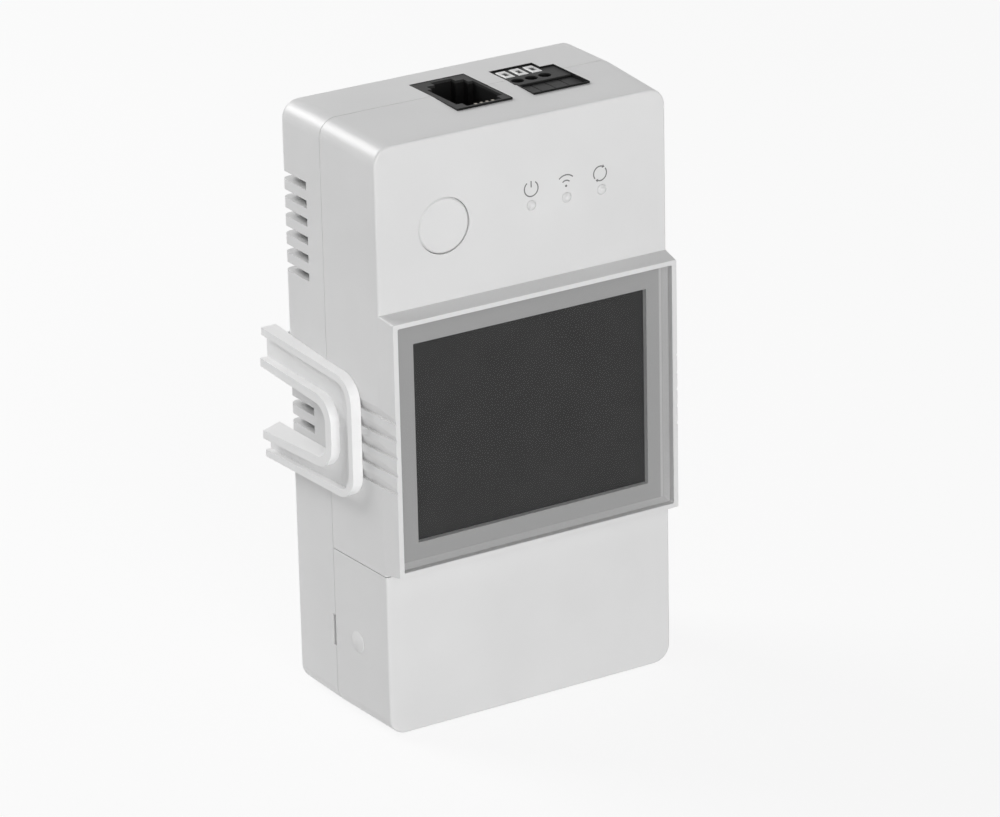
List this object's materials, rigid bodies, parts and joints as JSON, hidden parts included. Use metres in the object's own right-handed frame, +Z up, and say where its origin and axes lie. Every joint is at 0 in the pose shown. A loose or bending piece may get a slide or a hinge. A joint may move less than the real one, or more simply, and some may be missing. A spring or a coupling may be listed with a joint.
{
  "type": "smart temperature humidity switch",
  "caption": "Wall-mounted relay switch with temperature and humidity screen, sensor sockets on top, mains terminals under a removable lower cover and side clips.",
  "frame": {"origin": "middle of the underside: the bounding box stands on z = 0 and is centred on x = 0 and y = 0", "axes": "+X right as seen from the front, +Y back towards the wall, +Z up"},
  "size_m": [0.0602, 0.0344, 0.098],
  "materials": {
    "housing_plastic": "fine matt moulding texture",
    "clip_plastic": "fine matt moulding texture",
    "button_plastic": "satin",
    "clear_plastic": "clear, glossy",
    "guide_plastic": "milky, glossy",
    "lamp_package": "semi-gloss",
    "mask_print": "matt printed",
    "screen_dark": "smooth dark",
    "backlight_plastic": "semi-gloss",
    "circuit_board": "solder mask, semi-gloss",
    "circuit_board_dark": "solder mask, semi-gloss",
    "shield_metal": "tinned sheet",
    "screw_metal": "zinc plated",
    "contact_metal": "plated",
    "clamp_metal": "nickel plated",
    "black_plastic": "matt black",
    "relay_plastic": "semi-gloss",
    "core_ferrite": "matt sintered",
    "winding_tape": "smooth tape",
    "capacitor_sleeve": "semi-gloss sleeve",
    "fuse_plastic": "semi-gloss",
    "varistor_coat": "dipped coating",
    "terminal_plastic": "matt",
    "key_plastic": "satin"
  },
  "bodies": {
    "housing": {"front_shell": "housing_plastic", "rear_shell": "housing_plastic", "light_guide": "guide_plastic", "indicator_lights": "lamp_package", "display_lens": "clear_plastic", "display_mask": "mask_print", "lcd_panel": "screen_dark", "backlight": "backlight_plastic", "display_board": "circuit_board", "main_board": "circuit_board", "radio_module": "circuit_board_dark", "radio_shield": "shield_metal", "display_board_screws": "screw_metal", "main_board_screws": "screw_metal", "housing_screws": "screw_metal", "header_blocks": "black_plastic", "header_pins": "contact_metal", "solder_pins": "contact_metal", "jack_contacts": "contact_metal", "tact_switch": "shield_metal", "relay": "relay_plastic", "transformer_core": "core_ferrite", "transformer_bobbin": "winding_tape", "filter_capacitors": "capacitor_sleeve", "fuse": "fuse_plastic", "varistor": "varistor_coat", "terminal_block": "terminal_plastic", "terminal_clamps": "clamp_metal", "sensor_jack": "black_plastic", "sensor_terminal": "black_plastic"},
    "power_button": {"power_button": "button_plastic"},
    "tact_plunger": {"tact_plunger": "black_plastic"},
    "terminal_cover": {"terminal_cover": "housing_plastic"},
    "side_clip_left": {"side_clip_left": "clip_plastic"},
    "side_clip_right": {"side_clip_right": "clip_plastic"},
    "release_key_1": {"release_key_1": "key_plastic"},
    "release_key_2": {"release_key_2": "key_plastic"},
    "release_key_3": {"release_key_3": "key_plastic"},
    "terminal_screw_1": {"terminal_screw_1": "screw_metal"},
    "terminal_screw_2": {"terminal_screw_2": "screw_metal"},
    "terminal_screw_3": {"terminal_screw_3": "screw_metal"},
    "terminal_screw_4": {"terminal_screw_4": "screw_metal"},
    "terminal_screw_5": {"terminal_screw_5": "screw_metal"},
    "terminal_screw_6": {"terminal_screw_6": "screw_metal"}
  },
  "joints": [
    {"name": "power_button_slide", "type": "slide", "parent": "housing", "child": "power_button", "axis": [0, 1, 0], "range_m": [0, 0.0004], "stiffness_N_per_m": 400},
    {"name": "tact_plunger_slide", "type": "slide", "parent": "housing", "child": "tact_plunger", "axis": [0, 1, 0], "range_m": [0, 0.0004]},
    {"name": "terminal_cover_slide", "type": "slide", "parent": "housing", "child": "terminal_cover", "axis": [0, -1, 0], "range_m": [0, 0.02]},
    {"name": "side_clip_left_slide", "type": "slide", "parent": "housing", "child": "side_clip_left", "axis": [-1, 0, 0], "range_m": [0, 0.012]},
    {"name": "side_clip_right_slide", "type": "slide", "parent": "housing", "child": "side_clip_right", "axis": [1, 0, 0], "range_m": [0, 0.012]},
    {"name": "release_key_1_slide", "type": "slide", "parent": "housing", "child": "release_key_1", "axis": [0, 0, -1], "range_m": [0, 0.0012], "stiffness_N_per_m": 400},
    {"name": "release_key_2_slide", "type": "slide", "parent": "housing", "child": "release_key_2", "axis": [0, 0, -1], "range_m": [0, 0.0012], "stiffness_N_per_m": 400},
    {"name": "release_key_3_slide", "type": "slide", "parent": "housing", "child": "release_key_3", "axis": [0, 0, -1], "range_m": [0, 0.0012], "stiffness_N_per_m": 400},
    {"name": "terminal_screw_1_turn", "type": "hinge", "parent": "housing", "child": "terminal_screw_1", "pos_m": [-0.01588, -0.00265, 0.01], "axis": [0, 1, 0], "continuous": true},
    {"name": "terminal_screw_2_turn", "type": "hinge", "parent": "housing", "child": "terminal_screw_2", "pos_m": [-0.00953, -0.00265, 0.01], "axis": [0, 1, 0], "continuous": true},
    {"name": "terminal_screw_3_turn", "type": "hinge", "parent": "housing", "child": "terminal_screw_3", "pos_m": [-0.00317, -0.00265, 0.01], "axis": [0, 1, 0], "continuous": true},
    {"name": "terminal_screw_4_turn", "type": "hinge", "parent": "housing", "child": "terminal_screw_4", "pos_m": [0.00317, -0.00265, 0.01], "axis": [0, 1, 0], "continuous": true},
    {"name": "terminal_screw_5_turn", "type": "hinge", "parent": "housing", "child": "terminal_screw_5", "pos_m": [0.00953, -0.00265, 0.01], "axis": [0, 1, 0], "continuous": true},
    {"name": "terminal_screw_6_turn", "type": "hinge", "parent": "housing", "child": "terminal_screw_6", "pos_m": [0.01588, -0.00265, 0.01], "axis": [0, 1, 0], "continuous": true}
  ],
  "couplings": [
    {"joint": "tact_plunger_slide", "follows": "power_button_slide", "ratio": 1}
  ]
}
